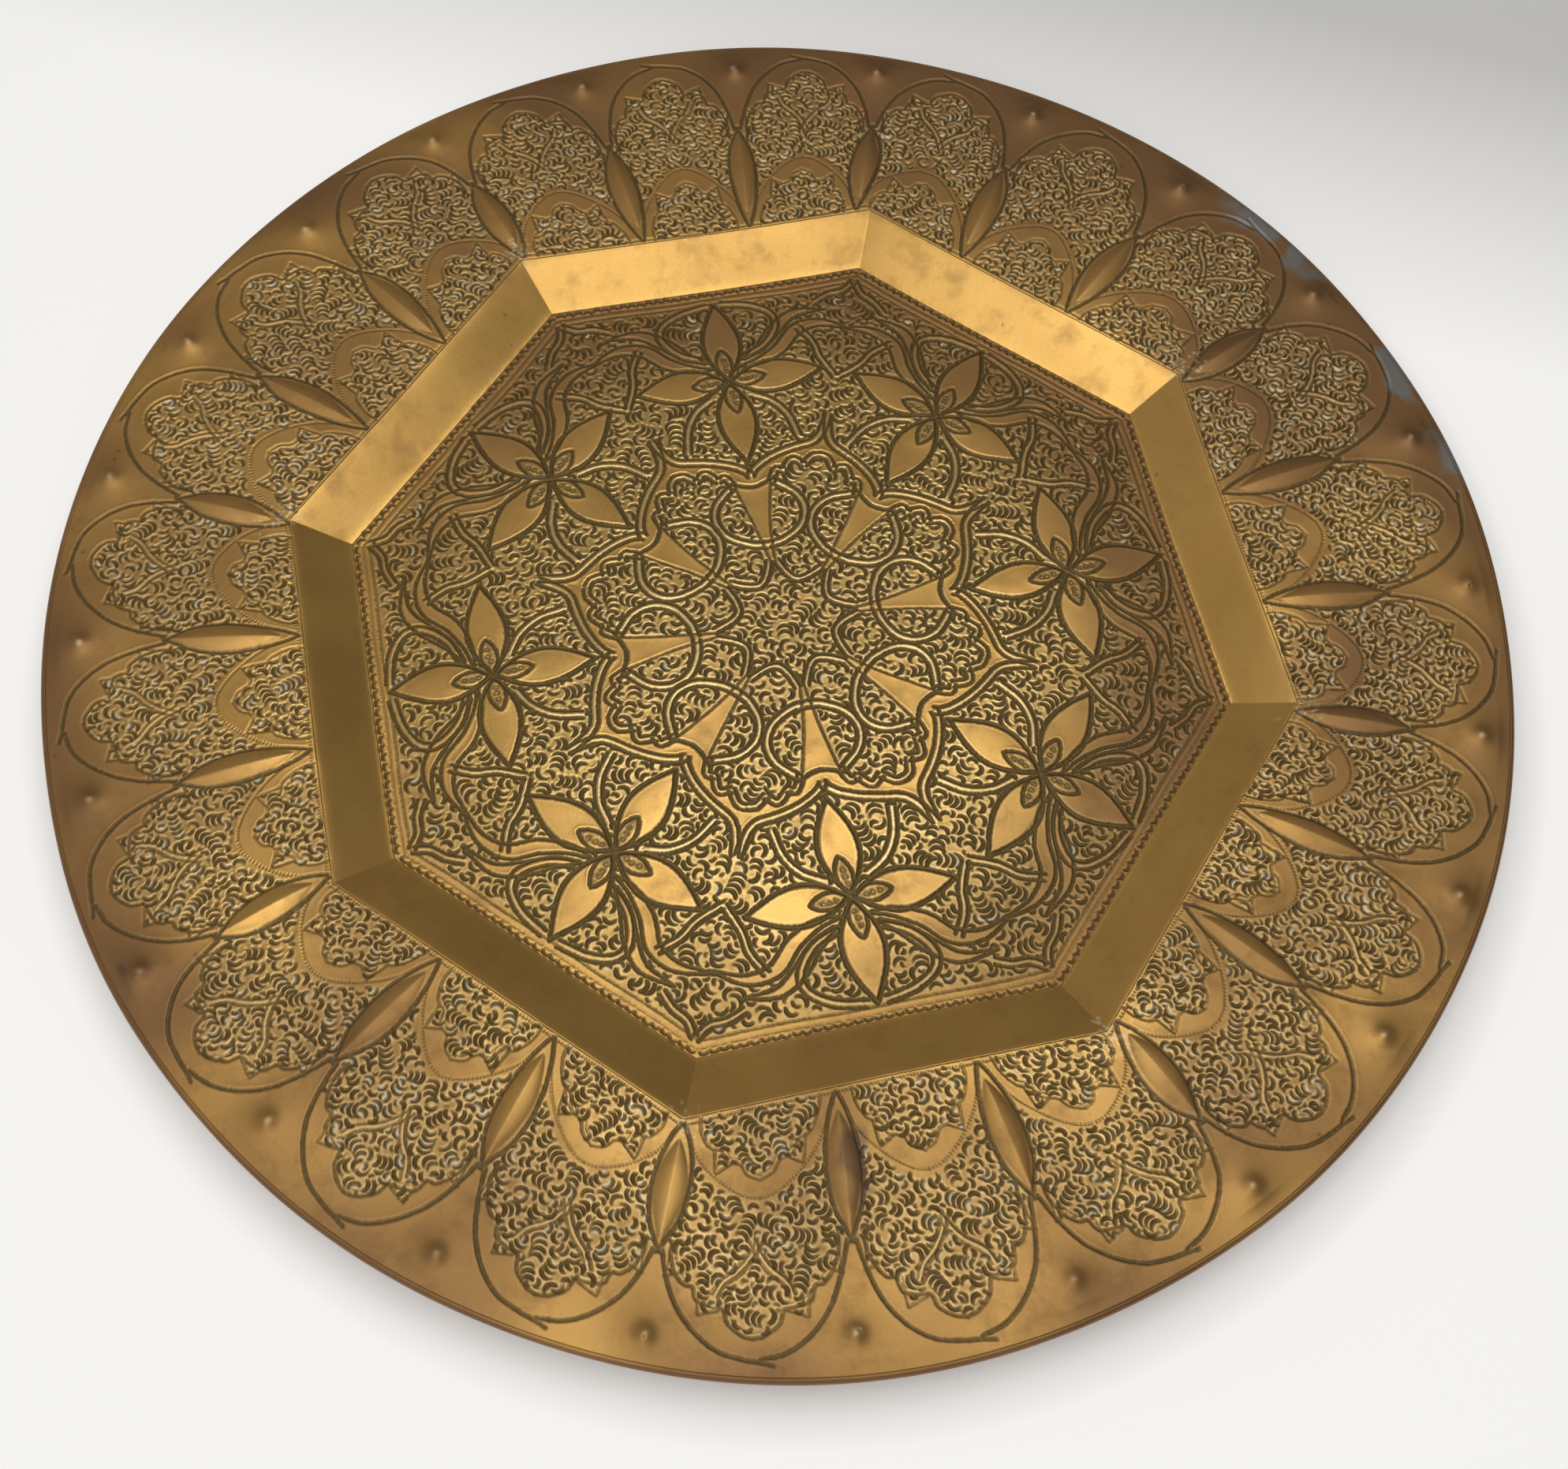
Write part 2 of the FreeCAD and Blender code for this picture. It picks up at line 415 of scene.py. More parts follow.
def chase_sector_lines(work, at, at_corner):
    """Double lines that tie one flower to the next."""
    for points in (BELL, ROUND_LOOP, RAY_LOOP):
        for half in both_ways(points):
            chase_pair(work, curve(at(half)))
    chase_pair(work, curve(at([polar(*spot) for spot in SCALLOP])), SCALLOP_GAP)
    for points in (SECTOR_FORK, CORNER_OGIVE):
        for half in both_ways(points):
            chase_pair(work, curve(at_corner(half)), FORK_GAP)


def octagon_side(apothem, side, inset=0.0):
    """The two ends of one side of an octagon about the tray's centre."""
    half = apothem * math.tan(HALF_SIDE) - inset
    return turned([(apothem, -half), (apothem, half)], side * 2 * HALF_SIDE)


TOOTH_PITCH = 4.0             # of the row of half-moons against the fold
BORDER_LINES = ((BORDER_APOTHEM, FILLET_LINE), (BORDER_APOTHEM + BORDER_WIDTH, FOLD_LINE))


def chase_border(cuts):
    """A plain fillet between two lines, and a row of half-moon blows against the fold."""
    for side in range(SIDES):
        for apothem, stroke in BORDER_LINES:
            chase(cuts, curve(octagon_side(apothem * TRAY_R, side)), stroke)
        start, end = octagon_side(FLOOR_APOTHEM - 0.8, side, 1.0)
        count = int(np.linalg.norm(end - start) / TOOTH_PITCH)
        at = start + (end - start) * ((np.arange(count) + 0.5) / count)[:, None]
        at += rng.normal(0, 0.15, at.shape)
        facing = side * 2 * HALF_SIDE + rng.normal(0, 0.1, count)
        half_moons(cuts, at, facing, 1.75, 1.45, 0.72, 0.75)


def half_moons(cuts, centres, facing, radius, spread, width, depth, keep=None):
    """Curved punch marks: arcs about points, thick in the middle and pointed at both ends."""
    t = np.linspace(-1, 1, 15)[None, :]
    radius = np.broadcast_to(radius, len(centres))[:, None]
    angle = facing[:, None] + spread * t
    x = centres[:, 0, None] + radius * (np.cos(angle) - np.cos(facing)[:, None])
    y = centres[:, 1, None] + radius * (np.sin(angle) - np.sin(facing)[:, None])
    points = np.stack([x, y], -1).reshape(-1, 2)
    taper = np.tile((np.sqrt(1 - 0.80 * t ** 2) * (1 - 0.22 * t))[0], len(centres))
    width = np.repeat(np.broadcast_to(width, len(centres)), t.size)
    depth = np.repeat(np.broadcast_to(depth, len(centres)), t.size)
    if keep is not None:
        inside = read(keep, points) > 0.5
        points, taper, width, depth = points[inside], taper[inside], width[inside], depth[inside]
    strike(cuts, points, width * taper, depth * taper)


def spread_points(step):
    """Points about evenly spread over the tray, in a random order."""
    count = int(2 * TRAY_R / step) + 2
    steps = (np.arange(count) - count / 2) * step
    points = np.stack(np.meshgrid(steps, steps), -1).reshape(-1, 2)
    points += rng.uniform(-0.5, 0.5, points.shape) * step
    rng.shuffle(points)
    return points[np.hypot(*points.T) < TRAY_R - ROLL_RADIUS * 3]


def cells_of(points):
    """Column and row of the cell nearest to each point."""
    return np.rint((points - ORIGIN) / CELL).astype(int)


def blow_cells(centre, facing, radius):
    """The cells along the middle of one curved blow."""
    angle = facing + 1.15 * np.linspace(-1, 1, 7)
    away = np.stack([np.cos(angle) - math.cos(facing), np.sin(angle) - math.sin(facing)], 1)
    return cells_of(centre + radius * away)


def lay_blows(free, seeds, pitch, radii, room, longest):
    """Short stacks of nested blows, begun where there is still room: rows of x, y, facing and radius."""
    step = np.arange(-int(room / CELL), int(room / CELL) + 1)
    patch = np.hypot(step[:, None], step[None, :]) * CELL > room
    blows = []
    first = cells_of(seeds)
    seeds = seeds[free[first[:, 1], first[:, 0]]]
    for spot, cell in zip(seeds, cells_of(seeds)):
        if not free[cell[1], cell[0]]:
            continue
        facing = rng.uniform(0, 2 * math.pi)
        twist = rng.normal(0, 0.2)
        radius = rng.uniform(*radii)
        covered = []
        for _ in range(rng.integers(1, longest + 1)):
            cells = blow_cells(spot, facing, radius)
            if free[cells[:, 1], cells[:, 0]].mean() < 0.8:
                break
            blows.append((*spot, facing, radius))
            covered.append(cells)
            spot = spot + pitch * np.array([math.cos(facing), math.sin(facing)])
            facing += twist + rng.normal(0, 0.07)
            radius = min(radius * rng.uniform(0.98, 1.2), radii[1])
        for col, row in (np.vstack(covered) if covered else ()):
            free[row + step[0]:row + step[-1] + 1, col + step[0]:col + step[-1] + 1] &= patch
    return blows


# Rounds of matting: step between tries, size of the blows, room they take, most in a stack
MATTING_ROUNDS = ((4.0, 1.0, 0.66, 5), (1.5, 0.8, 0.60, 3), (1.0, 0.5, 0.52, 1))


def matting(work, marks, allowed, pitch, radii, width, depth, glint_share):
    """Fills a mask with crescents: nested stacks first, then smaller blows in the gaps, and pale strokes
    of painted glint beside some of them.
    """
    free = allowed.copy()
    blows = []
    for step, size, room, longest in MATTING_ROUNDS:
        reach = (radii[0] * size, radii[1] * size)
        blows += lay_blows(free, spread_points(step), pitch * size ** 0.4, reach, room * pitch, longest)
    blows = np.array(blows)
    at, facing, radius = blows[:, :2], blows[:, 2], blows[:, 3]
    force = rng.uniform(0.85, 1.12, len(at)) * np.clip(radius / radii[0], 0.5, 1) ** 0.6
    keep = allowed.astype(np.float32)
    half_moons(marks, at, facing, radius, 1.35, width * force, depth * force, keep)
    # Painted glints: a pale stroke on the inner side of some blows.
    glinting_or_metallic = rng.random(len(at)) < glint_share(at)
    inward = at[glinting_or_metallic] - 1.15 * width * np.stack([np.cos(facing[glinting_or_metallic]), np.sin(facing[glinting_or_metallic])], 1)
    half_moons(work["glints_and_pale_oxide"], inward, facing[glinting_or_metallic], radius[glinting_or_metallic] * 0.85, 1.15, 0.52, 1.0, keep)


def chase_floor(work):
    """Everything on the floor of the well but the matting."""
    for k in range(SIDES):
        angle = k * 2 * HALF_SIDE
        turn, grow = rng.normal(0, 0.006), rng.normal(1, 0.004)
        at = sector(angle, turn, grow)
        chase_strap(work, at)
        chase_sector_lines(work, at, sector(angle + HALF_SIDE, turn, grow))
        chase_ray(work, at)
        chase_sprigs(work, at)
        chase_flower(work, at)
    chase_border(work["cuts"])


# ---- the ornament of the rim
# Places on the rim are (w, a): w runs from 0 at the lip to 1 at the tray's edge, and a from -1 to 1
# across a petal.
PETALS = 24
LEAF_SWAY = ((2, 0.9, -1.7), (3, 1.0, -1.2), (4, 0.5, -2.0))   # waves round the tray, degrees, phase
PETAL_OUTER = [(0.535, 0.955), (0.600, 0.905), (0.680, 0.830), (0.760, 0.720), (0.840, 0.540),
               (0.898, 0.320), (0.922, 0.08)]
PETAL_SLIP = [(0.930, -0.06), (0.942, -0.19)]    # one side of each petal runs on past the tip
LEAF_SIDE = [(0.015, 0.985), (0.090, 0.885), (0.200, 0.800), (0.310, 0.780), (0.420, 0.835),
             (0.500, 0.945), (0.545, 1.02)]
SMALL_PETAL = [(0.035, 0.945), (0.110, 0.860), (0.200, 0.690), (0.285, 0.430), (0.338, 0.180),
               (0.352, 0.0)]
SMALL_CORE = [(0.01, 0.78), (0.070, 0.750), (0.135, 0.630), (0.160, 0.470), (0.205, 0.400),
              (0.222, 0.235), (0.262, 0.150), (0.285, 0.0)]
BIG_CORE = [(0.500, 0.860), (0.560, 0.855), (0.620, 0.800), (0.668, 0.690), (0.676, 0.600),
            (0.725, 0.550), (0.745, 0.400), (0.752, 0.290), (0.800, 0.240), (0.838, 0.110),
            (0.850, 0.0)]
SPIKES = [[(0.700, 0.540), (0.778, 0.520), (0.755, 0.330)],
          [(0.560, 0.850), (0.640, 0.890), (0.625, 0.760)],
          [(0.150, 0.560), (0.245, 0.520), (0.215, 0.340)]]
STEM = [(0.500, -0.04), (0.560, 0.050), (0.610, 0.160), (0.655, 0.310), (0.705, 0.380)]
RAISED_LEAF = (0.085, 0.510, 6.0, 1.75)     # from w, to w, half width and height in millimetres
BOSS_W = 0.853
BOSS_RADIUS, BOSS_HEIGHT = 3.3, 1.2
BOSS_SKIRT, BOSS_SKIRT_HEIGHT = 9.0, 1.8


def lip_radius(angle):
    """Distance from the centre to the lip of the well at an angle."""
    within = (angle + HALF_SIDE) % (2 * HALF_SIDE) - HALF_SIDE
    return LIP_APOTHEM / np.cos(within)


def rim_place(wa, middle, half):
    """Rim places turned into plan points for the petal between two raised leaves."""
    wa = np.asarray(wa, float)
    angle = middle + wa[:, 1] * half
    radius = lip_radius(angle) + wa[:, 0] * (TRAY_R - lip_radius(angle))
    return np.stack([radius * np.cos(angle), radius * np.sin(angle)], 1)


def leaf_angles():
    """Where the raised leaves stand: near the well's corners and rough thirds between, spaced by eye."""
    even = (np.arange(PETALS) + 0.5) * 2 * math.pi / PETALS
    return even + sum(math.radians(size) * np.sin(waves * even + phase)
                      for waves, size, phase in LEAF_SWAY)


def chase_petal(work, middle, half):
    """One big petal with a lobed core, and the small petal that stands on the lip in front of it."""
    cuts, oxide, core, ridges = work["cuts"], work["oxide"], work["core"], work["ridges"]

    def at(points):
        return rim_place(points, middle, half)

    fill(core, at(closed(curve(BIG_CORE, 0.03))), 1)
    body = np.vstack([curve(LEAF_SIDE[:-1], 0.03), [(0.56, 0.86), (0.60, 0.80)]])
    fill(core, at(closed(body)), 1)
    small_petal = [(-0.01, 0.97)] + [(w + 0.018, a * 1.03) for w, a in SMALL_PETAL]
    fill(core, at(closed(curve(small_petal, 0.03))), 0)
    fill(core, at(closed(curve(SMALL_CORE, 0.03))), 1)
    for side in (1, -1):
        flip = np.array((1, side))
        for spike in SPIKES:
            thorn = at(np.asarray(spike) * flip)
            fill(core, thorn, 1)
            chase(cuts, curve(thorn[:2]), THORN_LINE)
            chase(cuts, curve(thorn[1:]), THORN_LINE)
        stem = curve(at(np.asarray(STEM) * flip))
        chase(cuts, beside(stem, 1.2), STEM_LINE)
        chase(cuts, beside(stem, -1.2), STEM_SHADOW)
        strike(ridges, stem, 0.8, 0.6)
        for points in (PETAL_OUTER, LEAF_SIDE):
            past_tip = PETAL_SLIP if points is PETAL_OUTER and side == -1 else []
            line = curve(at(np.asarray(points + past_tip) * flip))
            chase(cuts, line, PETAL_LINE)
            chase(oxide, line, PETAL_OXIDE)
        edge = curve(at(np.asarray(BIG_CORE) * flip))
        chase(cuts, edge, CORE_LINE)
        chase(cuts, beside(edge, -side * 1.9), CORE_SHADOW)
        chase(cuts, curve(at(np.asarray(SMALL_CORE) * flip)), SMALL_CORE_LINE)
        around = curve(at(np.asarray(SMALL_CORE[2:]) * flip))
        chase(cuts, beside(around, -side * 1.7), SMALL_CORE_SHADOW)
        beads(cuts, oxide, curve(at(np.asarray(SMALL_PETAL) * flip)))
        hook = at([(0.520, side * 0.84)])
        half_moons(cuts, hook, np.array([middle + side * 1.9]), 2.6, 1.3, 1.0, 0.8)


def beads(cuts, oxide, line):
    """A line of separate round dots, from a beading punch."""
    dots = hand_drift(line[::3])
    strike(cuts, dots, 0.62, 0.42)
    strike(oxide, dots, 0.8, 0.6)


def raise_leaf(lift, angle):
    """One raised leaf, pointed at both ends, with a soft ridge along it."""
    start_w, end_w, half_width, height = RAISED_LEAF
    start, end = rim_place([(start_w, 0), (end_w, 0)], angle, 1.0)
    length = np.linalg.norm(end - start)
    area, x, y = window((start + end) / 2, length / 2 + 2)
    along = (x * math.cos(angle) + y * math.sin(angle)) / length + 0.5
    across = np.abs(-x * math.sin(angle) + y * math.cos(angle))
    swell = np.sin(math.pi * unit(along) ** 0.92) ** 0.9
    share = across / (half_width * swell + 0.01)
    crown = height * swell ** 0.8 * np.clip(1 - 0.55 * share - 0.45 * share ** 2.5, 0, None)
    lift[area] = np.maximum(lift[area], crown)


def raise_boss(work, angle):
    """A nub knocked up from behind, on the shallow cone that the blow pulled up, rubbed pale on top,
    with a painted highlight there too.
    """
    lift = work["lift"]
    spot = rim_place([(BOSS_W + rng.normal(0, 0.012), 0)], angle + rng.normal(0, 0.006), 1.0)[0]
    area, x, y = window(spot, 3 * BOSS_SKIRT)
    away = np.hypot(x, y)
    skirt = BOSS_SKIRT_HEIGHT * np.exp(-(away / BOSS_SKIRT) ** 1.4)
    nub = BOSS_HEIGHT * rng.uniform(0.8, 1.1) * np.exp(-(away / BOSS_RADIUS) ** 2.0)
    lift[area] = np.maximum(lift[area], skirt + nub)
    # The pale tip: rubbed metal and a painted highlight.
    strike(work["glints_and_pale_oxide"], [spot + rng.normal(0, 0.5, 2)], 1.7, 0.38)
    if rng.random() < 0.5:
        strike(work["cuts"], [spot + rng.normal(0, 1.0, 2)], 0.7, 0.5)


def chase_rim(work):
    """Everything on the flange but the matting."""
    cuts, oxide, lift = work["cuts"], work["oxide"], work["lift"]
    angles = leaf_angles()
    for this, following in zip(angles, np.append(angles[1:], angles[0] + 2 * math.pi)):
        chase_petal(work, (this + following) / 2, (following - this) / 2)
    for angle in angles:
        raise_leaf(lift, angle)
        raise_boss(work, angle)
    for side in range(SIDES):
        beads(cuts, oxide, curve(octagon_side(LIP_APOTHEM + 1.7, side, 1.0)))
        corner_spot = octagon_side(LIP_APOTHEM + 4.0, side)[1]
        crust = corner_spot + rng.normal(0, 4.5, (rng.integers(15, 60), 2))
        strike(work["glints_and_pale_oxide"], crust, 0.7, 0.6)


# ---- all the layers
def plan_coordinates():
    """The x of every column and the y of every row of a layer."""
    steps = (ORIGIN + CELL * np.arange(CELLS)).astype(np.float32)
    return steps[None, :], steps[:, None]


def apothem_of(x, y):
    """How far out a point lies in the octagon's own measure."""
    sides = [(math.cos(a), math.sin(a)) for a in np.arange(SIDES // 2) * 2 * HALF_SIDE]
    return np.maximum.reduce([np.abs(x * c + y * s) for c, s in sides])


def floor_highlight_share(x, y):
    """How strongly the painted highlight is laid on the floor's high places: most in the middle and on
    the near side, least by the far walls.
    """
    share = np.hypot(x, y) / TRAY_R
    near = unit(-(x * math.sin(SIGHT_TURN) + y * math.cos(SIGHT_TURN)) / (0.5 * TRAY_R))
    return np.clip(1 - 0.75 * (share - 0.28) / 0.22 + 0.3 * near, 0.14, 1)


def floor_glint_share(at):
    """How often a blow on the floor gets a painted glint: seldom, and more towards the wall."""
    return np.clip((apothem_of(*at.T) / FLOOR_APOTHEM - 0.75) * 0.8, 0.02, 0.2)


def rim_glint_share(at):
    """The same on the rim: about one blow in four, everywhere."""
    return np.full(len(at), 0.24)


FLOOR_MATTING = {"pitch": 2.6, "radii": (2.0, 3.2), "width": 0.95, "depth": 0.8, "glint_share": floor_glint_share}
RIM_MATTING = {"pitch": 2.2, "radii": (1.7, 2.7), "width": 0.82, "depth": 0.9, "glint_share": rim_glint_share}
WORK_LAYERS = ("cuts", "oxide", "plain", "domes", "core", "lift", "ridges", "glints_and_pale_oxide")
PLANISHING = ((7.0, 0.05), (22.0, 0.16))    # size of the facets, height
BURR = ((0.8, 0.55), (2.0, 0.4))            # how far metal is pushed up beside a cut, and its share
CUT_WEIGHT = 1.2                            # of the cuts' own depth, to make up for the burr


def make_layers():
    """The relief of the top and of the underside, and where patina and painted shade, painted
    highlights, oxide, and painted glints with pale oxide lie.
    """
    work = {name: new_layer() for name in WORK_LAYERS}
    chase_floor(work)
    chase_rim(work)
    x, y = plan_coordinates()
    out = apothem_of(x, y)
    core = work["core"]
    clear = blur(unit(work["ridges"] * 3), 0.5) < 0.35
    floor_mat = ((out < BORDER_APOTHEM * TRAY_R - 0.8) & (work["plain"] < 0.5)).astype(np.float32)
    lines = blur(unit(work["cuts"] / 0.3), 0.4)
    floor_room = (blur(floor_mat, 0.7) > 0.90) & clear & (lines < 0.75)
    rim_room = (blur(core, 0.6) > 0.6) & (blur(unit(work["lift"]), 0.5) < 0.1) & clear & (lines < 0.75)
    marks = new_layer()
    matting(work, marks, floor_room, **FLOOR_MATTING)
    matting(work, marks, rim_room, **RIM_MATTING)
    cuts = np.maximum(work["cuts"], marks)
    ground = blur(floor_mat, 1.0) * 0.12 + blur(core, 1.2) * 0.25
    swell = blur(work["domes"], 2.2) * work["domes"] * 0.5 + blur(unit(work["ridges"]), 0.5) * 0.22
    planish = sum(unevenness(size) * height for size, height in PLANISHING)
    burr = sum(share * blur(cuts, reach) for reach, share in BURR)
    sharp = swell + burr - CUT_WEIGHT * cuts
    relief = work["lift"] + swell + planish - CUT_WEIGHT * cuts - ground + burr
    relief *= unit((ROLL_CENTRE_R - np.hypot(x, y)) / 5)
    highlight_share = floor_highlight_share(x, y)
    on_rim = out > FLOOR_APOTHEM + 3
    # Dark in the blows: dirt, and painted shade, a little stronger on the floor where its painted
    # highlight is stronger.
    blow_dirt_and_shade = unit((cuts - 0.08) / 0.40) * np.where(on_rim, 0.75, 0.8 + 0.2 * highlight_share)
    # Painted highlight: pale gold on the crests of the relief, set by the highlight share on the floor
    # and by the worked ground on the rim.
    crest_highlight = unit((sharp - blur(sharp, 1.3) - 0.05) / 0.25)
    worked = blur(np.maximum(core, floor_mat), 1.0)
    crest_highlight *= np.where(out < FLOOR_APOTHEM, (0.4 + 0.6 * worked) * highlight_share, 0.1 + 0.65 * worked)
    worked *= np.where(out < FLOOR_APOTHEM, 1, 0.45)
    return {
        "relief": blur(relief, 0.2),
        "under": blur(relief, 0.9),
        "recess": blur(blow_dirt_and_shade, 0.2),
        "crest_highlight": crest_highlight,
        "oxide": blur(unit(work["oxide"]), 0.3) * np.where(on_rim, 0.65, 1),
        "glints_and_pale_oxide": blur(unit(work["glints_and_pale_oxide"]), 0.15),
        "worked": worked,
    }


# ---- the sheet's own form
def soft_max(a, b):
    """The larger of two, rounded where they cross."""
    return 0.5 * (a + b + np.sqrt((a - b) ** 2 + BEND ** 2))


def soft_min(a, b):
    """The smaller of two, rounded where they cross."""
    return 0.5 * (a + b - np.sqrt((a - b) ** 2 + BEND ** 2))


def eased(distance):
    """A distance in from the roll, made to start level so that flange and roll meet with no crease."""
    return np.hypot(distance, EASE) - EASE


def sheet_top(x, y):
    """Height of the plain sheet's top face: floor, sloping wall, flange from octagon to circle."""
    radius = np.hypot(x, y)
    lip = lip_radius(np.arctan2(y, x))
    wall = SHEET + (apothem_of(x, y) - FLOOR_APOTHEM) * WALL_SLOPE
    flange = RIM_Z - (RIM_Z - LIP_Z) * eased(ROLL_CENTRE_R - radius) / eased(ROLL_CENTRE_R - lip)
    return soft_max(SHEET, soft_min(wall, flange))


def bent_by_hand(points):
    """The slow unevenness of a tray raised by hand, the same for every piece, so they still meet."""
    x, y, z = points.T
    dx = 0.4 * np.sin(x / 61 + y / 83 + 0.4) + 0.3 * np.sin(y / 27 - x / 47 + 1.9)
    dy = 0.4 * np.sin(y / 57 - x / 91 + 2.2) + 0.3 * np.sin(x / 31 + y / 43)
    out = unit((np.hypot(x, y) - LIP_APOTHEM) / (TRAY_R - LIP_APOTHEM)) ** 1.5
    angle = np.arctan2(y, x)
    wave = 0.55 * np.sin(3 * angle + 0.8) + 0.35 * np.sin(5 * angle + 2.0) + 0.22 * np.sin(11 * angle)
    settle = WORK_LIFT * unit((LIP_Z - z) / (LIP_Z - SHEET))
    return np.stack([x + dx, y + dy, z + settle + wave * out], 1)


def corner(side):
    """A corner of an octagon whose sides lie at a distance of 1 from the middle."""
    angle = (2 * side - 1) * HALF_SIDE
    return np.array([math.cos(angle), math.sin(angle)]) / math.cos(HALF_SIDE)


def floor_lattice(rings):
    """Points of nested octagons over the floor and the triangles between them."""
    points = [np.zeros((1, 2))]
    faces = []
    for i in range(1, rings + 1):
        share = (np.arange(i) / i)[:, None]
        sides = [corner(s) * (1 - share) + corner(s + 1) * share for s in range(SIDES)]
        points.append(np.vstack(sides) * FLOOR_APOTHEM * i / rings)
        j = np.arange(SIDES * i)
        side, step = j // i, j % i
        ring = 1 + 4 * i * (i - 1) + j
        following = 1 + 4 * i * (i - 1) + (j + 1) % (SIDES * i)
        if i == 1:
            faces.append(np.stack([ring, following, np.zeros_like(ring)], 1))
            continue
        base = 1 + 4 * (i - 1) * (i - 2)
        inner = base + (side * (i - 1) + step) % (SIDES * (i - 1))
        faces.append(np.stack([ring, following, inner], 1))
        inside = step < i - 1
        inner_next = base + (side * (i - 1) + step + 1) % (SIDES * (i - 1))
        faces.append(np.stack([inner, following, inner_next], 1)[inside])
    count = 1 + 4 * rings * (rings + 1)
    return np.vstack(points), np.vstack(faces), [np.arange(count - SIDES * rings, count)]


def ring_faces(rings, around, start=0):
    """Triangles of a closed grid of rings."""
    i, j = np.meshgrid(np.arange(rings - 1), np.arange(around), indexing="ij")
    a = start + i * around + j
    b = start + i * around + (j + 1) % around
    c, d = a + around, b + around
    return np.vstack([np.stack(three, -1).reshape(-1, 3) for three in ((a, c, d), (a, d, b))])


def flange_lattice(rings, around):
    """Rings from the octagonal lip out to where the roll begins."""
    angle = np.arange(around) * 2 * math.pi / around
    lip = lip_radius(angle)
    share = np.linspace(0, 1, rings)[:, None]
    radius = lip + (ROLL_CENTRE_R - lip) * share
    points = np.stack([radius * np.cos(angle), radius * np.sin(angle)], -1).reshape(-1, 2)
    count = len(points)
    return points, ring_faces(rings, around), [np.arange(around), np.arange(count - around, count)]


def wall_lattice(rings, along):
    """Octagons from the floor's fold up to the lip, closer together near the creases."""
    even = np.linspace(-1, 1, along, endpoint=False)
    t = 0.5 * even + 0.5 * np.sin(math.pi / 2 * even)
    side = np.stack([np.ones(along), t * math.tan(HALF_SIDE)], 1)
    octagon = np.vstack([turned(side, s * 2 * HALF_SIDE) for s in range(SIDES)])
    even = np.linspace(-1, 1, rings)
    share = 0.5 + 0.5 * (0.3 * even + 0.7 * np.sin(math.pi / 2 * even))
    apothem = FLOOR_APOTHEM + (LIP_APOTHEM - FLOOR_APOTHEM) * share
    points = (apothem[:, None, None] * octagon[None]).reshape(-1, 2)
    around = SIDES * along
    count = len(points)
    return points, ring_faces(rings, around), [np.arange(around), np.arange(count - around, count)]


def stitch(fine, coarse, offset, outward):
    """Side faces between a ring on top and the ring below it, which may have half as many points."""
    fine_next = np.roll(fine, -1)
    low = coarse + offset
    low_next = np.roll(low, -1)
    if len(fine) == len(coarse):
        two = ((fine, low, low_next), (fine, low_next, fine_next))
        faces = np.vstack([np.stack(corners, 1) for corners in two])
    else:
        first, second, third = fine[0::2], fine[1::2], fine_next[1::2]
        three = ((low, low_next, third), (low, third, second), (low, second, first))
        faces = np.vstack([np.stack(corners, 1) for corners in three])
    return faces if outward else faces[:, ::-1]


def sheet_solid(top, under, layers):
    """A closed sheet between a fine lattice on top and a coarser one underneath."""
    top_xy, top_faces, top_rims = top
    low_xy, low_faces, low_rims = under
    z_top = sheet_top(*top_xy.T) + read(layers["relief"], top_xy)
    z_low = sheet_top(*low_xy.T) + read(layers["under"], low_xy) - SHEET
    points = np.vstack([np.column_stack([top_xy, z_top]), np.column_stack([low_xy, z_low])])
    offset = len(top_xy)
    sides = []
    for number, (fine, coarse) in enumerate(zip(top_rims, low_rims)):
        outward = number == len(top_rims) - 1
        sides.append(stitch(fine, coarse, offset, outward))
    faces = np.vstack([top_faces, low_faces[:, ::-1] + offset] + sides)
    flat = np.zeros(len(faces), bool)
    flat[len(top_faces) + len(low_faces):] = True
    return points, faces, flat, np.vstack([top_xy, low_xy]), offset


# ---- Blender meshes
PAINTED = ("recess", "crest_highlight", "oxide", "worked", "glints_and_pale_oxide", "verdigris", "stain_and_shade", "tarnish_and_shade")


def make_object(name, points, faces, flat):
    """A mesh object from arrays, in metres, smooth but for the faces marked flat."""
    mesh = bpy.data.meshes.new(name)
    mesh.vertices.add(len(points))
    mesh.vertices.foreach_set("co", (points / MM).astype(np.float32).ravel())
    mesh.loops.add(faces.size)
    mesh.loops.foreach_set("vertex_index", faces.astype(np.int32).ravel())
    mesh.polygons.add(len(faces))
    mesh.polygons.foreach_set("loop_start", np.arange(len(faces), dtype=np.int32) * faces.shape[1])
    mesh.polygons.foreach_set("use_smooth", ~flat)
    mesh.update(calc_edges=True)
    mesh.validate()
    piece = bpy.data.objects.new(name, mesh)
    bpy.context.scene.collection.objects.link(piece)
    return piece


def paint(piece, name, values):
    """A number per point of the mesh, for the materials to read."""
    attribute = piece.data.attributes.new(name, "FLOAT", "POINT")
    attribute.data.foreach_set("value", np.asarray(values, np.float32))


def finish_piece(piece, node, material):
    """Gives a piece its material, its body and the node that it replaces."""
    piece.data.materials.append(material)
    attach(piece, "root")
    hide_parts(node)


def underside(layer, shown):
    """The underside has no painted highlight or glints: it is tarnished all over, with a trace of dirt
    behind the blows.
    """
    if layer == "tarnish_and_shade":
        return 0.45 + 0.5 * shown
    return 0.3 * shown if layer == "recess" else 0 * shown


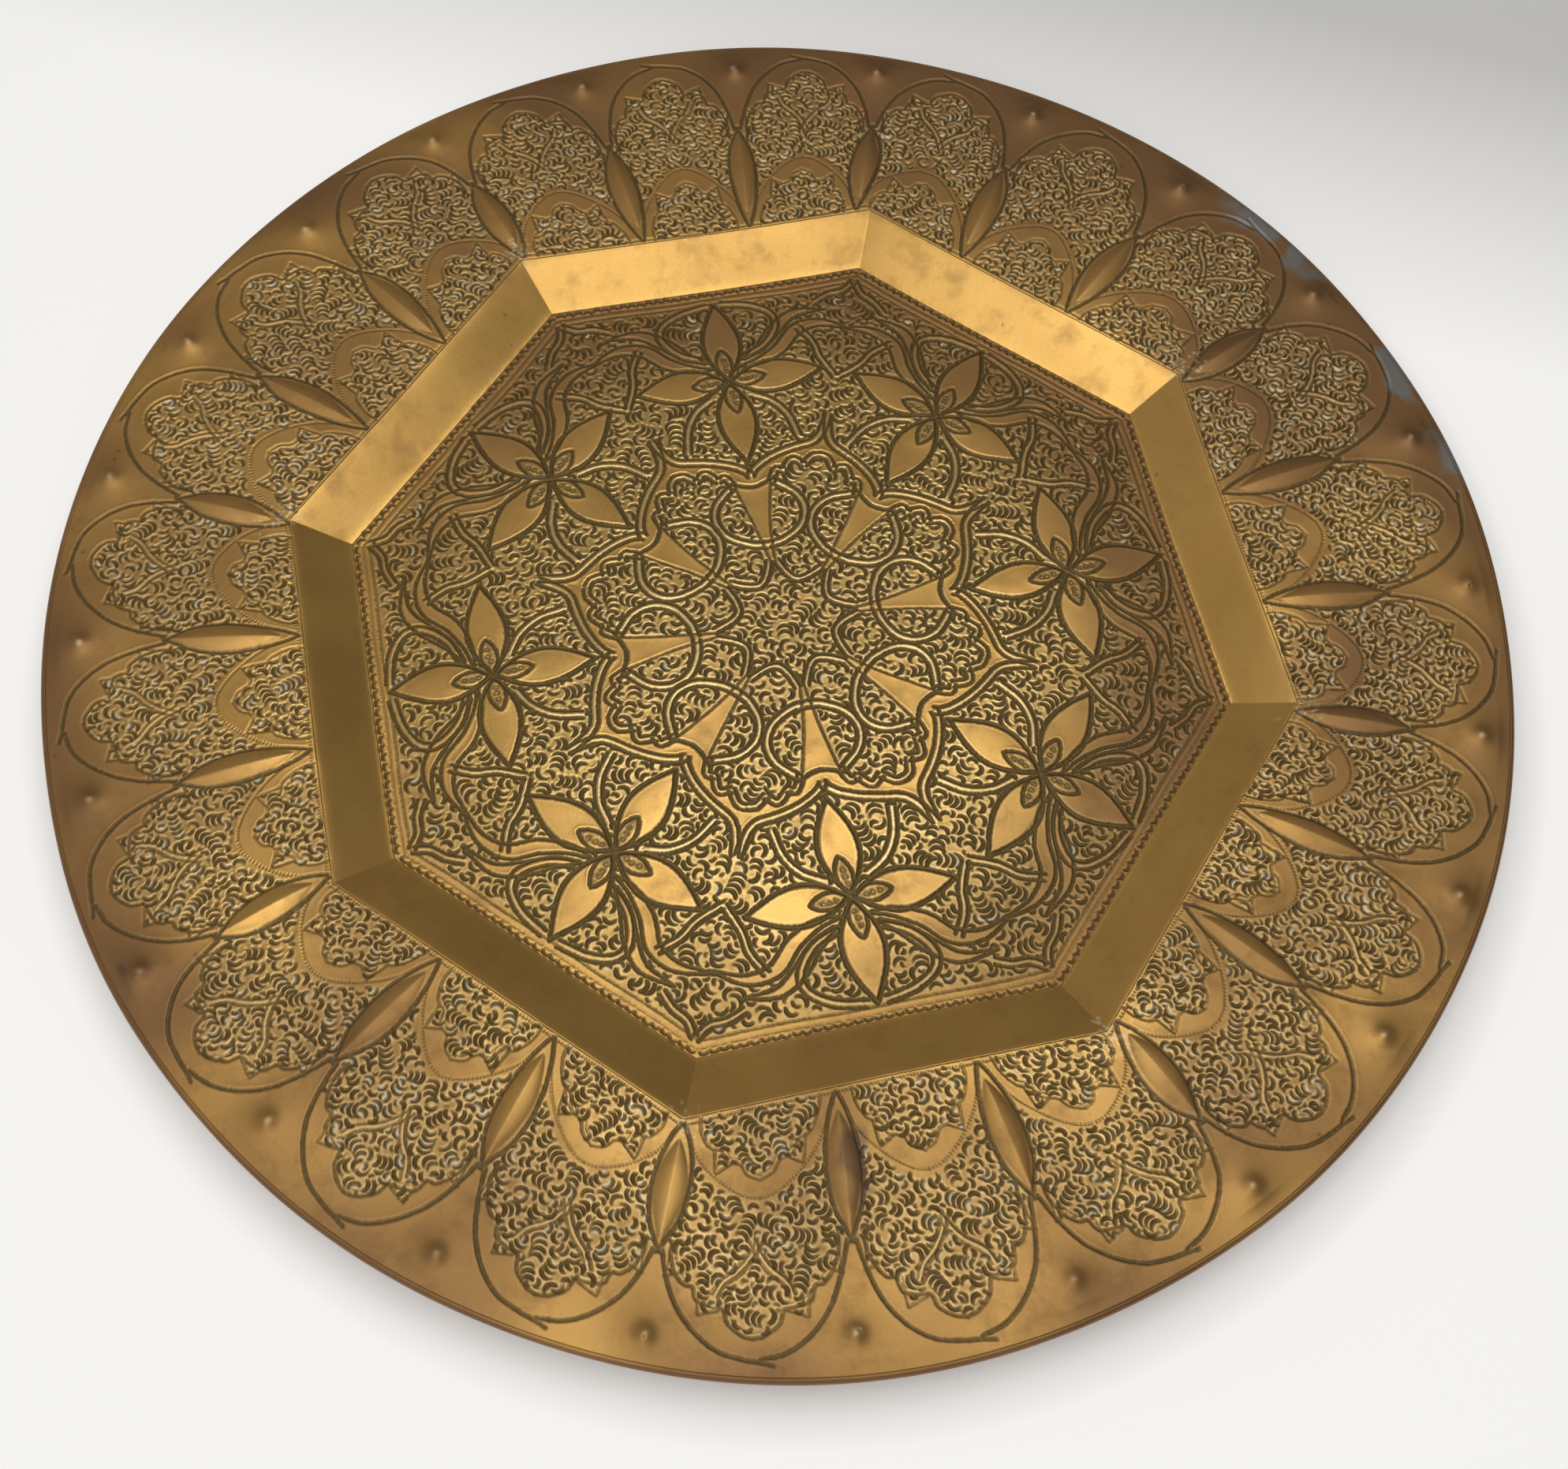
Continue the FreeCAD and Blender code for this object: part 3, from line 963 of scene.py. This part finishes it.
def sheet_piece(name, node, top, under, layers, material):
    """One region of the tray's sheet, worked on top and showing its work underneath."""
    points, faces, flat, xy, first_low = sheet_solid(top, under, layers)
    piece = make_object(name, bent_by_hand(points), faces, flat)
    on_top = np.arange(len(points)) < first_low
    for layer in PAINTED:
        shown = read(layers[layer], xy)
        paint(piece, layer, np.where(on_top, shown, underside(layer, shown)))
    finish_piece(piece, node, material)


def section_sweep(radius, z, around):
    """A closed section carried round the tray's axis."""
    angle = (np.arange(around) * 2 * math.pi / around)[:, None]
    x = np.cos(angle) * radius
    y = np.sin(angle) * radius
    points = np.stack([x, y, np.broadcast_to(z, x.shape)], -1).reshape(-1, 3)
    count = len(radius)
    i, j = np.meshgrid(np.arange(around), np.arange(count), indexing="ij")
    a = i * count + j
    b = i * count + (j + 1) % count
    c = (i + 1) % around * count + j
    d = (i + 1) % around * count + (j + 1) % count
    return points, np.stack([a, c, d, b], -1).reshape(-1, 4)


def rolled_edge_piece(around, layers, material):
    """The edge of the sheet, turned down and round the wire."""
    turn = np.linspace(0, ROLL_TURN, 22)
    inner = ROLL_RADIUS - SHEET
    radius = np.concatenate([ROLL_RADIUS * np.ones(22), inner * np.ones(22)])
    angle = math.pi / 2 - np.concatenate([turn, turn[::-1]])
    r = ROLL_CENTRE_R + radius * np.cos(angle)
    z = ROLL_CENTRE_Z + radius * np.sin(angle)
    points, faces = section_sweep(r, z, around)
    faces = faces[:, ::-1]
    section = np.tile(np.arange(44), around)
    flat = (section == 21) | (section == 43)
    piece = make_object("rolled_edge_roll", bent_by_hand(points), faces, flat)
    # Painted shade: the roll grows darker and browner as it turns down and out from its top.
    reach = np.hypot(points[:, 0], points[:, 1])
    roll_shade = unit((reach - ROLL_CENTRE_R) / ROLL_RADIUS)
    roll_shade_layers = {"tarnish_and_shade": 0.6 * roll_shade, "stain_and_shade": 0.5 * roll_shade ** 2}
    for layer in PAINTED:
        shown = read(layers[layer], points[:, :2] * (ROLL_CENTRE_R / reach)[:, None])
        paint(piece, layer, unit(shown + roll_shade_layers.get(layer, 0)))
    finish_piece(piece, "rolled_edge", material)


def edge_wire_piece(around, material):
    """The iron wire inside the roll."""
    angle = -np.arange(12) * math.pi / 6
    r = ROLL_CENTRE_R + WIRE_RADIUS * np.cos(angle)
    z = ROLL_CENTRE_Z + WIRE_RADIUS * np.sin(angle)
    points, faces = section_sweep(r, z, around)
    smooth = np.zeros(len(faces), bool)
    piece = make_object("edge_wire_ring", bent_by_hand(points), faces[:, ::-1], smooth)
    finish_piece(piece, "edge_wire", material)


# ---- materials
def feed(tree, socket, value):
    """Links an input to another node's output, or sets it to a constant."""
    if isinstance(value, bpy.types.NodeSocket):
        tree.links.new(value, socket)
    else:
        socket.default_value = value


def add(tree, kind, settings=None, **values):
    """A shader node with its settings, and its inputs linked or set."""
    made = tree.nodes.new("ShaderNode" + kind)
    for key, value in (settings or {}).items():
        setattr(made, key, value)
    for key, value in values.items():
        feed(tree, made.inputs[key.replace("_", " ")], value)
    return made


def new_material(name):
    """A material, its nodes, its shader, and the place on the object that its patterns follow."""
    material = bpy.data.materials.new(name)
    material.use_nodes = True
    tree = material.node_tree
    return material, tree, tree.nodes["Principled BSDF"], add(tree, "TexCoord").outputs["Object"]


def between(tree, factor, first, second):
    """A colour between two, by a factor that is a socket."""
    mix = tree.nodes.new("ShaderNodeMix")
    mix.data_type = "RGBA"
    tree.links.new(factor, mix.inputs["Factor"])
    for socket, value in ((mix.inputs[6], first), (mix.inputs[7], second)):
        feed(tree, socket, (*value, 1) if isinstance(value, tuple) else value)
    return mix.outputs[2]


def ramp(tree, value, low, high, to_low=0.0, to_high=1.0):
    """A value carried from one range to another, and held at the ends."""
    made = add(tree, "MapRange", From_Min=low, From_Max=high, To_Min=to_low, To_Max=to_high,
               Value=value)
    return made.outputs["Result"]


def maths(tree, operation, first, second):
    """Two values combined; sums and differences are held between 0 and 1."""
    made = tree.nodes.new("ShaderNodeMath")
    made.operation = operation
    made.use_clamp = operation in ("ADD", "SUBTRACT")
    feed(tree, made.inputs[0], first)
    feed(tree, made.inputs[1], second)
    return made.outputs[0]


def noise(tree, where, scale, detail, roughness=0.6):
    """A smooth random value through space, with that many waves to the metre."""
    made = add(tree, "TexNoise", Vector=where, Scale=scale, Detail=detail, Roughness=roughness)
    return made.outputs["Fac"]


def painted(tree, name):
    """A number that was painted on the mesh."""
    return add(tree, "Attribute", {"attribute_name": name}).outputs["Fac"]


BRIGHT = (0.81, 0.480, 0.140)
WARM = (0.71, 0.41, 0.115)
OLIVE_GOLD = (0.72, 0.50, 0.180)
HIGHLIGHT_PALE_GOLD = (1.0, 0.72, 0.33)
SMUDGE = (0.42, 0.235, 0.085)
RECESS_DARK = (0.148, 0.101, 0.033)
OXIDE_GREY = (0.145, 0.115, 0.060)
TARNISH_AND_SHADE_BROWN = (0.345, 0.190, 0.083)
VERDIGRIS = (0.31, 0.32, 0.31)
GLINT_AND_OXIDE_PALE = (1.0, 0.91, 0.66)
STAIN_AND_SHADE_DARK = (0.16, 0.10, 0.085)


def chased_metal():
    """Worn brass with painted light: a pale painted highlight on the crests and painted glints beside
    some blows, dark in every blow with dirt and painted shade, with oxide in the deep grooves.
    """
    material, tree, shader, where = new_material("chased_metal")
    recess, oxide, worked = painted(tree, "recess"), painted(tree, "oxide"), painted(tree, "worked")
    cloud = noise(tree, where, 16, 4)
    speck = noise(tree, where, 420, 2)
    grain = noise(tree, where, 1300, 2)
    colour = between(tree, ramp(tree, cloud, 0.38, 0.66), BRIGHT, WARM)
    smudge = ramp(tree, noise(tree, where, 60, 5, 0.68), 0.50, 0.70, 0.0, 0.45)
    colour = between(tree, smudge, colour, SMUDGE)
    colour = between(tree, maths(tree, "MULTIPLY", worked, 0.5), colour, OLIVE_GOLD)
    # Tarnish brown, which also carries the painted shade on the floor and on the roll.
    colour = between(tree, ramp(tree, painted(tree, "tarnish_and_shade"), 0.1, 1.0), colour, TARNISH_AND_SHADE_BROWN)
    # Painted highlight: pale gold on the crests.
    crest_highlight = painted(tree, "crest_highlight")
    colour = between(tree, ramp(tree, crest_highlight, 0.0, 1.0, 0.0, 0.92), colour, HIGHLIGHT_PALE_GOLD)
    # Dirt and painted shade, dark in the blows; speckled dirt over the worked ground.
    dirt_and_shade = maths(tree, "ADD", maths(tree, "MULTIPLY", worked, ramp(tree, speck, 0.45, 0.65, 0.0, 0.25)),
                 ramp(tree, recess, 0.10, 0.75, 0.0, 1.0))
    colour = between(tree, maths(tree, "MULTIPLY", dirt_and_shade, 0.92), colour, RECESS_DARK)
    # Painted glints and whitish oxide: a pale colour in clusters.
    patches = ramp(tree, noise(tree, where, 45, 2), 0.40, 0.56, 0.15)
    glints_and_pale_oxide = maths(tree, "MULTIPLY", painted(tree, "glints_and_pale_oxide"), patches)
    colour = between(tree, glints_and_pale_oxide, colour, GLINT_AND_OXIDE_PALE)
    crust = maths(tree, "MULTIPLY", oxide, ramp(tree, speck, 0.36, 0.56, 0.25, 1.0))
    colour = between(tree, maths(tree, "MULTIPLY", crust, 0.85), colour, OXIDE_GREY)
    colour = between(tree, painted(tree, "verdigris"), colour, VERDIGRIS)
    # Stains, and the painted shade on the roll.
    colour = between(tree, painted(tree, "stain_and_shade"), colour, STAIN_AND_SHADE_DARK)
    tree.links.new(colour, shader.inputs["Base Color"])
    dull_and_shaded = maths(tree, "MAXIMUM", crust, maths(tree, "MULTIPLY", dirt_and_shade, 0.8))
    glinting_or_metallic = ramp(tree, dull_and_shaded, 0.3, 1.0, 1.0, 0.65)
    # The painted glints and pale oxide are made less metallic, so that they show pale.
    metallic = maths(tree, "SUBTRACT", glinting_or_metallic, maths(tree, "MULTIPLY", glints_and_pale_oxide, 0.8))
    tree.links.new(metallic, shader.inputs["Metallic"])
    worn = maths(tree, "MAXIMUM", dull_and_shaded, painted(tree, "tarnish_and_shade"))
    base = ramp(tree, grain, 0.3, 0.7, 0.26, 0.33)
    rough = maths(tree, "ADD", ramp(tree, worn, 0.0, 0.6, 0.0, 0.22), base)
    rough = maths(tree, "SUBTRACT", rough, maths(tree, "MULTIPLY", crest_highlight, 0.06))
    rough = maths(tree, "ADD", rough, maths(tree, "MULTIPLY", smudge, 0.2))
    tree.links.new(rough, shader.inputs["Roughness"])
    bump = add(tree, "Bump", Strength=0.10, Distance=0.0003, Height=maths(tree, "ADD", grain, speck))
    tree.links.new(bump.outputs["Normal"], shader.inputs["Normal"])
    return material


def iron_wire():
    """Drawn iron wire, dull grey with a little brown."""
    material, tree, shader, where = new_material("iron_wire")
    rust = ramp(tree, noise(tree, where, 60, 4), 0.45, 0.65)
    colour = between(tree, rust, (0.24, 0.23, 0.22), (0.13, 0.07, 0.04))
    tree.links.new(colour, shader.inputs["Base Color"])
    tree.links.new(ramp(tree, rust, 0, 1, 0.4, 0.7), shader.inputs["Roughness"])
    shader.inputs["Metallic"].default_value = 1.0
    return material


# ---- stains, tarnish and painted shade
def blotch(layer, angle, share, size, ragged, strength):
    """A soft-edged patch at an angle and a share of the tray's radius, ragged by a noise."""
    c, s = polar(1, angle)
    area, x, y = window(TRAY_R * share * np.array([c, s]), 3 * max(size))
    radial = (x * c + y * s) / size[0]
    across = (-x * s + y * c) / size[1]
    patch = 1.15 - np.hypot(radial, across) + 0.75 * ragged[area]
    layer[area] = np.maximum(layer[area], strength * unit(patch * 1.6))


VERDIGRIS_PATCHES = ((29, (7, 27)), (12, (6, 17)), (3, (6, 11)))    # degrees, size inward and along


def make_stains_and_shade():
    """Tarnish and darkening over one part of the rim, blue-grey patches on the edge, dark spots, and
    painted shade over parts of the floor.
    """
    ragged = unevenness(3.0)
    verdigris, stain_and_shade = new_layer(), new_layer()
    for angle, size in VERDIGRIS_PATCHES:
        blotch(verdigris, angle, 0.985, size, ragged, 0.8)
    blotch(stain_and_shade, -96, 0.75, (11, 6), ragged, 0.6)
    blotch(stain_and_shade, -159.5, 0.975, (2, 4), ragged, 0.6)
    spots = rng.uniform(-1, 1, (70, 2)) * TRAY_R
    strike(stain_and_shade, spots[np.hypot(*spots.T) < FLANGE_END], 0.9, 0.8)
    x, y = plan_coordinates()
    angle = np.arctan2(y, x)
    # The rim gets browner and darker outward, most towards one side, in blotches.
    out = unit((np.hypot(x, y) - LIP_APOTHEM) / 60)
    side = unit(np.cos(angle - math.radians(40)) * 1.4 - 0.35)
    rim = unit((np.hypot(x, y) - 0.98 * lip_radius(angle)) / 8)
    tarnish_and_shade = rim * (0.42 + 0.58 * out * np.maximum(side, 0.22)) + 0.22 * unevenness(16.0) * (0.4 + rim)
    wall = unit((apothem_of(x, y) - FLOOR_APOTHEM) / 4) * (1 - rim)
    tarnish_and_shade += 0.22 * wall * unit(unevenness(9.0))
    # Painted shade: the floor made darker in the middle, round its outer part, and most of all on its
    # far right side.
    share = np.hypot(x, y) / TRAY_R
    tarnish_and_shade += 0.2 * unit((share - 0.90) / 0.08)
    dull_and_shaded = 0.6 * unit((share - 0.33) / 0.14) * unit(np.cos(angle - 0.7) + 0.8)
    dull_and_shaded += 0.22 * unit((0.22 - share) / 0.12) + 0.25 * unit((share - 0.44) / 0.06)
    tarnish_and_shade = unit(tarnish_and_shade + dull_and_shaded * (apothem_of(x, y) < FLOOR_APOTHEM))
    return {"verdigris": verdigris, "stain_and_shade": stain_and_shade, "tarnish_and_shade": tarnish_and_shade}


# ---- the studio
def sight_axes():
    """The camera's right, up and backward directions."""
    c, s = math.cos(SIGHT_TURN), math.sin(SIGHT_TURN)
    ce, se = math.cos(SIGHT_ELEVATION), math.sin(SIGHT_ELEVATION)
    level = np.array([c, -s, 0])
    rise = np.array([s * se, c * se, ce])
    back = np.array([-s * ce, -c * ce, se])
    cr, sr = math.cos(SIGHT_ROLL), math.sin(SIGHT_ROLL)
    return cr * level + sr * rise, cr * rise - sr * level, back


def make_camera():
    """The camera, at the place that the tray is seen from."""
    right, up, back = sight_axes()
    middle = np.array([0, 0, LIP_Z])
    place = middle + TRAY_R * (SIGHT_DISTANCE * back - SIGHT_ASIDE[0] * right - SIGHT_ASIDE[1] * up)
    camera = bpy.data.objects.new("camera", bpy.data.cameras.new("camera"))
    columns = np.stack([right, up, back, place / MM], 1)
    camera.matrix_world = Matrix([*columns.tolist(), [0, 0, 0, 1]])
    camera.data.lens = LENS
    camera.data.sensor_width = SENSOR
    bpy.context.scene.collection.objects.link(camera)
    bpy.context.scene.camera = camera


def softbox(name, sideways, away, height, size, power):
    """A rectangular lamp aimed at the tray, placed as the camera sees it: sideways right, away far."""
    c, s = math.cos(SIGHT_TURN), math.sin(SIGHT_TURN)
    lamp = bpy.data.lights.new(name, "AREA")
    lamp.shape = "RECTANGLE"
    lamp.size, lamp.size_y = size
    lamp.energy = power
    holder = bpy.data.objects.new(name, lamp)
    place = Vector((c * sideways + s * away, -s * sideways + c * away, height))
    holder.location = place
    holder.rotation_euler = (-place).to_track_quat("-Z", "Y").to_euler()
    bpy.context.scene.collection.objects.link(holder)


def make_world():
    """A pale room to the eye, dim in the metal except on the left."""
    world = bpy.data.worlds.new("studio")
    bpy.context.scene.world = world
    world.use_nodes = True
    tree = world.node_tree
    tree.nodes.clear()
    direction = add(tree, "TexCoord").outputs["Generated"]
    split = add(tree, "SeparateXYZ", Vector=direction)
    left = ramp(tree, split.outputs["X"], -0.8, 0.6, 0.34, 0.15)
    dim = add(tree, "Background", Color=(1.0, 0.98, 0.94, 1), Strength=left)
    pale = add(tree, "Background", Color=(0.83, 0.82, 0.81, 1), Strength=1.0)
    eye = add(tree, "LightPath").outputs["Is Camera Ray"]
    mix = tree.nodes.new("ShaderNodeMixShader")
    tree.links.new(eye, mix.inputs[0])
    tree.links.new(dim.outputs[0], mix.inputs[1])
    tree.links.new(pale.outputs[0], mix.inputs[2])
    out = tree.nodes.new("ShaderNodeOutputWorld")
    tree.links.new(mix.outputs[0], out.inputs["Surface"])


TABLE_SIZE = 4 * MM                # from the middle to a side
TABLE_FADE = math.radians(63)      # the way in which the table gets dimmer, at the far side
TABLE_GLOW = (0.215, 0.41, 0.44, 0.06)    # from and to in metres that way, glow before and beyond
# Painted shadow: the table's glow is dimmed round the tray.
SHADE_MIDDLE = (-0.003, 0.005, 0)  # the middle of the soft shadow under the tray, signs turned round
SHADE = (0.292, 0.318, 0.30, 1.0)  # from and to in metres, share of the glow within and beyond


def make_table():
    """The pale surface that the tray lies on; it glows with painted light, dimmer at the far side, with
    a painted soft shadow round the tray.
    """
    points = np.array([(-1, -1, 0), (1, -1, 0), (1, 1, 0), (-1, 1, 0)]) * TABLE_SIZE
    table = make_object("pale_table", points, np.array([[0, 1, 2, 3]]), np.array([True]))
    material, tree, shader, where = new_material("pale_table")
    shader.inputs["Base Color"].default_value = (0.92, 0.915, 0.90, 1)
    shader.inputs["Roughness"].default_value = 0.9
    shader.inputs["Emission Color"].default_value = (1, 0.995, 0.98, 1)
    slant = add(tree, "Mapping", Vector=where, Rotation=(0, 0, -TABLE_FADE)).outputs["Vector"]
    along = add(tree, "SeparateXYZ", Vector=slant).outputs["X"]
    # Painted light and shadow: a glow that fades towards the far side and drops round the tray.
    from_tray = add(tree, "Mapping", Vector=where, Location=SHADE_MIDDLE).outputs["Vector"]
    reach = add(tree, "VectorMath", {"operation": "LENGTH"}, Vector=from_tray).outputs["Value"]
    glow = maths(tree, "MULTIPLY", ramp(tree, along, *TABLE_GLOW), ramp(tree, reach, *SHADE))
    tree.links.new(glow, shader.inputs["Emission Strength"])
    table.data.materials.append(material)


# Lamps: name, sideways, away and up in metres, size, watts
LAMPS = (("overhead", 0.05, -0.05, 1.5, (1.5, 0.95), 5.7),
         ("pane", -0.07, 0.43, 1.5, (0.40, 0.30), 0.5),
         ("window", -0.3, -1.5, 1.6, (1.2, 0.9), 4.2))


def make_studio():
    """The table, the pale room, the camera and the lamps."""
    bpy.context.scene.view_settings.view_transform = "Standard"
    make_table()
    make_world()
    make_camera()
    for lamp in LAMPS:
        softbox(*lamp)


# ---- the tray
FINE = 1.0    # how closely the meshes are divided


def make_tray():
    """The five pieces: four regions of the sheet, cut from the same layers, and the wire."""
    layers = {**make_layers(), **make_stains_and_shade()}
    metal = chased_metal()
    rings = int(400 * FINE) // 2 * 2
    around = int(3680 * FINE) // 16 * 16
    across = int(210 * FINE)
    along = int(200 * FINE) // 2 * 2
    sheet_piece("tray_floor", "well_floor", floor_lattice(rings), floor_lattice(rings // 2),
                layers, metal)
    sheet_piece("tray_rim", "rim_flange", flange_lattice(across, around),
                flange_lattice(across // 2, around // 2), layers, metal)
    sheet_piece("tray_wall", "well_wall", wall_lattice(22, along), wall_lattice(16, along // 2),
                layers, metal)
    rolled_edge_piece(around // 2, layers, metal)
    edge_wire_piece(around // 4, iron_wire())


make_tray()
make_studio()
